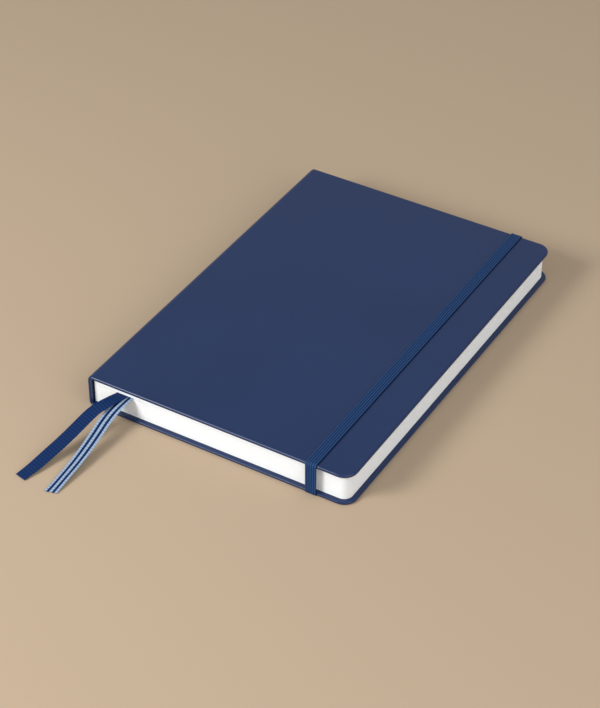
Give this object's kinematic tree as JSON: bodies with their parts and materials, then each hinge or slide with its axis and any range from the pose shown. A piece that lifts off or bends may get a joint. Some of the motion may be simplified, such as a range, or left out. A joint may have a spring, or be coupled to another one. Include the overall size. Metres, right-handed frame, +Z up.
{
  "type": "hardback pilot logbook",
  "caption": "Hardback logbook with sewn page sections, a rounded-corner leatherette cover that opens at the spine, an elastic closing strap and marker ribbons.",
  "frame": {"origin": "centre of the closed book in plan, on the outer face of the back cover, which lies on the table", "axes": "+X from the spine to the fore-edge, +Y from the tail to the head, +Z up through the closed book to the front cover"},
  "size_m": [0.1466, 0.2743, 0.0192],
  "materials": {
    "leatherette": "fine-grained navy leatherette over board, smooth with a soft sheen",
    "board": "dense grey-brown binder's board, hidden inside the cover",
    "endpaper": "plain uncoated endpaper",
    "page_paper": "uncoated white writing paper, trimmed edges",
    "liner_paper": "brown kraft liner inside the spine",
    "gauze": "open-weave cotton gauze set in glue",
    "thread": "white linen sewing thread",
    "elastic": "woven flat elastic, navy, with raised lengthwise cords",
    "ribbon_navy": "navy grosgrain ribbon with fine crosswise ribs",
    "ribbon_striped": "grosgrain ribbon striped lengthwise in navy and pale blue"
  },
  "bodies": {
    "root": {"back_board": "board", "cover_skin_back": "leatherette", "joint_skin_back": "leatherette", "back_endpaper": "endpaper", "strap_ends": "elastic", "mull": "gauze", "sewing_thread": "thread"},
    "spine": {"spine_strip": "board", "spine_liner": "liner_paper", "cover_skin_spine": "leatherette"},
    "front_cover": {"front_board": "board", "cover_skin_front": "leatherette", "joint_skin_front": "leatherette", "front_endpaper": "endpaper"},
    "section_01": {"section_01": "page_paper"},
    "section_02": {"section_02": "page_paper"},
    "section_03": {"section_03": "page_paper"},
    "section_04": {"section_04": "page_paper"},
    "section_05": {"section_05": "page_paper", "ribbon_plain": "ribbon_navy", "ribbon_striped": "ribbon_striped"},
    "section_06": {"section_06": "page_paper"},
    "section_07": {"section_07": "page_paper"},
    "section_08": {"section_08": "page_paper"},
    "section_09": {"section_09": "page_paper"},
    "section_10": {"section_10": "page_paper"},
    "section_11": {"section_11": "page_paper"},
    "section_12": {"section_12": "page_paper"},
    "section_13": {"section_13": "page_paper"},
    "section_14": {"section_14": "page_paper"},
    "section_15": {"section_15": "page_paper"},
    "section_16": {"section_16": "page_paper"},
    "strap": {"elastic_strap": "elastic"}
  },
  "joints": [
    {"name": "front_cover_hinge", "type": "hinge", "parent": "spine", "child": "front_cover", "pos_m": [-0.0713, 0, 0.01634], "axis": [0, -1, 0], "range_deg": [0, 90], "deforming": ["joint_skin_front", "mull", "sewing_thread"]},
    {"name": "spine_hinge", "type": "hinge", "parent": "root", "child": "spine", "pos_m": [-0.0713, 0, 0.002], "axis": [0, -1, 0], "range_deg": [0, 90], "deforming": ["joint_skin_back"]},
    {"name": "section_01_shift", "type": "slide", "parent": "front_cover", "child": "section_01", "axis": [-1, 0, 0], "range_m": [0, 0.00089]},
    {"name": "section_02_shift", "type": "slide", "parent": "front_cover", "child": "section_02", "axis": [-1, 0, 0], "range_m": [0, 0.00178]},
    {"name": "section_03_shift", "type": "slide", "parent": "front_cover", "child": "section_03", "axis": [-1, 0, 0], "range_m": [0, 0.00267]},
    {"name": "section_04_shift", "type": "slide", "parent": "front_cover", "child": "section_04", "axis": [-1, 0, 0], "range_m": [0, 0.00356]},
    {"name": "section_05_shift", "type": "slide", "parent": "root", "child": "section_05", "axis": [-1, 0, 0], "range_m": [0, 0.01068]},
    {"name": "section_06_shift", "type": "slide", "parent": "root", "child": "section_06", "axis": [-1, 0, 0], "range_m": [0, 0.00979]},
    {"name": "section_07_shift", "type": "slide", "parent": "root", "child": "section_07", "axis": [-1, 0, 0], "range_m": [0, 0.0089]},
    {"name": "section_08_shift", "type": "slide", "parent": "root", "child": "section_08", "axis": [-1, 0, 0], "range_m": [0, 0.00801]},
    {"name": "section_09_shift", "type": "slide", "parent": "root", "child": "section_09", "axis": [-1, 0, 0], "range_m": [0, 0.00712]},
    {"name": "section_10_shift", "type": "slide", "parent": "root", "child": "section_10", "axis": [-1, 0, 0], "range_m": [0, 0.00623]},
    {"name": "section_11_shift", "type": "slide", "parent": "root", "child": "section_11", "axis": [-1, 0, 0], "range_m": [0, 0.00534]},
    {"name": "section_12_shift", "type": "slide", "parent": "root", "child": "section_12", "axis": [-1, 0, 0], "range_m": [0, 0.00445]},
    {"name": "section_13_shift", "type": "slide", "parent": "root", "child": "section_13", "axis": [-1, 0, 0], "range_m": [0, 0.00356]},
    {"name": "section_14_shift", "type": "slide", "parent": "root", "child": "section_14", "axis": [-1, 0, 0], "range_m": [0, 0.00267]},
    {"name": "section_15_shift", "type": "slide", "parent": "root", "child": "section_15", "axis": [-1, 0, 0], "range_m": [0, 0.00178]},
    {"name": "section_16_shift", "type": "slide", "parent": "root", "child": "section_16", "axis": [-1, 0, 0], "range_m": [0, 0.00089]},
    {"name": "strap_swing", "type": "hinge", "parent": "root", "child": "strap", "pos_m": [0.0526, 0, 0.00045], "axis": [0, 1, 0], "range_deg": [0, 180], "deforming": ["elastic_strap"]}
  ],
  "couplings": [
    {"joint": "spine_hinge", "follows": "front_cover_hinge", "ratio": 1},
    {"joint": "section_01_shift", "follows": "front_cover_hinge", "m_per_rad": 0.00056659},
    {"joint": "section_02_shift", "follows": "front_cover_hinge", "m_per_rad": 0.0011332},
    {"joint": "section_03_shift", "follows": "front_cover_hinge", "m_per_rad": 0.0016998},
    {"joint": "section_04_shift", "follows": "front_cover_hinge", "m_per_rad": 0.0022664},
    {"joint": "section_05_shift", "follows": "front_cover_hinge", "m_per_rad": 0.0067991},
    {"joint": "section_06_shift", "follows": "front_cover_hinge", "m_per_rad": 0.0062325},
    {"joint": "section_07_shift", "follows": "front_cover_hinge", "m_per_rad": 0.0056659},
    {"joint": "section_08_shift", "follows": "front_cover_hinge", "m_per_rad": 0.0050993},
    {"joint": "section_09_shift", "follows": "front_cover_hinge", "m_per_rad": 0.0045327},
    {"joint": "section_10_shift", "follows": "front_cover_hinge", "m_per_rad": 0.0039661},
    {"joint": "section_11_shift", "follows": "front_cover_hinge", "m_per_rad": 0.0033995},
    {"joint": "section_12_shift", "follows": "front_cover_hinge", "m_per_rad": 0.0028329},
    {"joint": "section_13_shift", "follows": "front_cover_hinge", "m_per_rad": 0.0022664},
    {"joint": "section_14_shift", "follows": "front_cover_hinge", "m_per_rad": 0.0016998},
    {"joint": "section_15_shift", "follows": "front_cover_hinge", "m_per_rad": 0.0011332},
    {"joint": "section_16_shift", "follows": "front_cover_hinge", "m_per_rad": 0.00056659},
    {"joint": "strap_swing", "follows": "front_cover_hinge", "ratio": 2}
  ]
}
